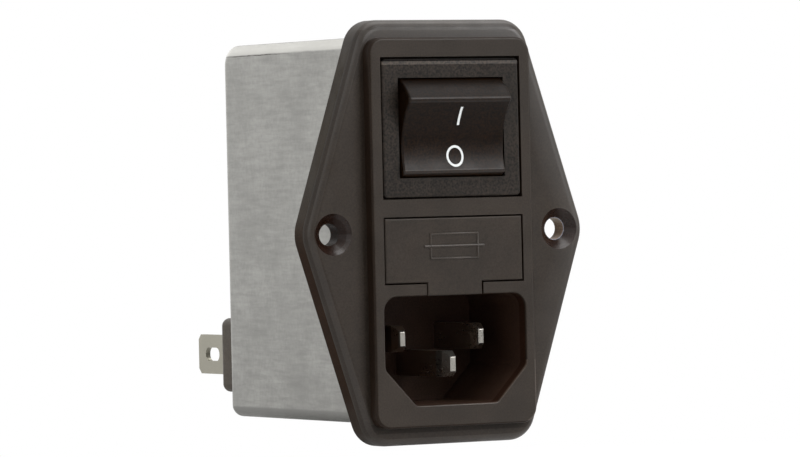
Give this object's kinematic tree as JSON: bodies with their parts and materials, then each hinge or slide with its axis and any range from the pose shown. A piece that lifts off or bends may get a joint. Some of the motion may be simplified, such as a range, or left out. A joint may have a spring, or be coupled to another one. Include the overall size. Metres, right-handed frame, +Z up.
{
  "type": "panel power inlet with fuse drawer, rocker switch and filter can",
  "caption": "C14 panel inlet in a screw flange with a fuse drawer, a rocker switch and a steel filter can behind, ending in quick-connect blades.",
  "frame": {"origin": "on the back face of the screw flange, midway between its two screw holes", "axes": "+Y back into the panel, -Y out of the inlet's mouth, +Z up with the switch above the inlet, +X to the right seen from the front"},
  "size_m": [0.049, 0.0647, 0.065],
  "materials": {
    "black_nylon": "fine moulded grain",
    "black_rocker": "smooth moulded, soft sheen",
    "black_insulator": "plain moulded",
    "plated_steel": "dull plated sheet",
    "tinned_brass": "dull tin plate",
    "nickel_brass": "bright nickel plate",
    "spring_bronze": "bare spring sheet",
    "fuse_glass": "clear tube",
    "copper_wire": "enamelled wire",
    "cream_plastic": "plain moulded",
    "spring_steel": "drawn wire",
    "board_laminate": "green coated laminate",
    "capacitor_yellow": "moulded box",
    "capacitor_blue": "dipped coating",
    "resistor_tan": "lacquered barrel",
    "core_green": "epoxy coated ring"
  },
  "bodies": {
    "housing": {"front_housing": "black_nylon", "line_pin": "nickel_brass", "neutral_pin": "nickel_brass", "earth_pin": "nickel_brass", "switch_body": "black_nylon", "fuse_clip_left": "spring_bronze", "fuse_clip_right": "spring_bronze", "common_terminal_left": "tinned_brass", "common_terminal_right": "tinned_brass", "load_terminal_left": "tinned_brass", "load_terminal_right": "tinned_brass", "shield_can": "plated_steel", "tab_bush_left": "black_insulator", "tab_bush_right": "black_insulator", "neutral_tab": "tinned_brass", "line_tab": "tinned_brass", "earth_tab": "tinned_brass", "earth_rivet": "plated_steel", "earth_strap": "plated_steel", "strap_rivet": "plated_steel", "circuit_board": "board_laminate", "x_capacitor": "capacitor_yellow", "y_capacitor_left": "capacitor_blue", "y_capacitor_right": "capacitor_blue", "bleed_resistor": "resistor_tan", "choke_core": "core_green", "choke_winding_left": "copper_wire", "choke_winding_right": "copper_wire"},
    "drawer": {"fuse_drawer": "black_nylon", "fuse_glass": "fuse_glass", "fuse_cap_left": "nickel_brass", "fuse_cap_right": "nickel_brass", "fuse_wire": "copper_wire", "spare_fuse_glass": "fuse_glass", "spare_fuse_cap_left": "nickel_brass", "spare_fuse_cap_right": "nickel_brass", "spare_fuse_wire": "copper_wire"},
    "rocker": {"rocker": "black_rocker", "plunger_left": "cream_plastic", "plunger_right": "cream_plastic", "plunger_spring_left": "spring_steel", "plunger_spring_right": "spring_steel"},
    "contact_arm_left": {"contact_arm_left": "spring_bronze"},
    "contact_arm_right": {"contact_arm_right": "spring_bronze"}
  },
  "joints": [
    {"name": "drawer_slide", "type": "slide", "parent": "housing", "child": "drawer", "axis": [0, -1, 0], "range_m": [0, 0.0145]},
    {"name": "rocker_hinge", "type": "hinge", "parent": "housing", "child": "rocker", "pos_m": [0, -0.0018, 0.01591], "axis": [-1, 0, 0], "range_deg": [0, 24]},
    {"name": "contact_hinge_left", "type": "hinge", "parent": "housing", "child": "contact_arm_left", "pos_m": [-0.005, 0.00585, 0.01591], "axis": [1, 0, 0], "range_deg": [0, 24]},
    {"name": "contact_hinge_right", "type": "hinge", "parent": "housing", "child": "contact_arm_right", "pos_m": [0.005, 0.00585, 0.01591], "axis": [1, 0, 0], "range_deg": [0, 24]}
  ],
  "couplings": [
    {"joint": "contact_hinge_left", "follows": "rocker_hinge", "ratio": 1},
    {"joint": "contact_hinge_right", "follows": "rocker_hinge", "ratio": 1}
  ]
}
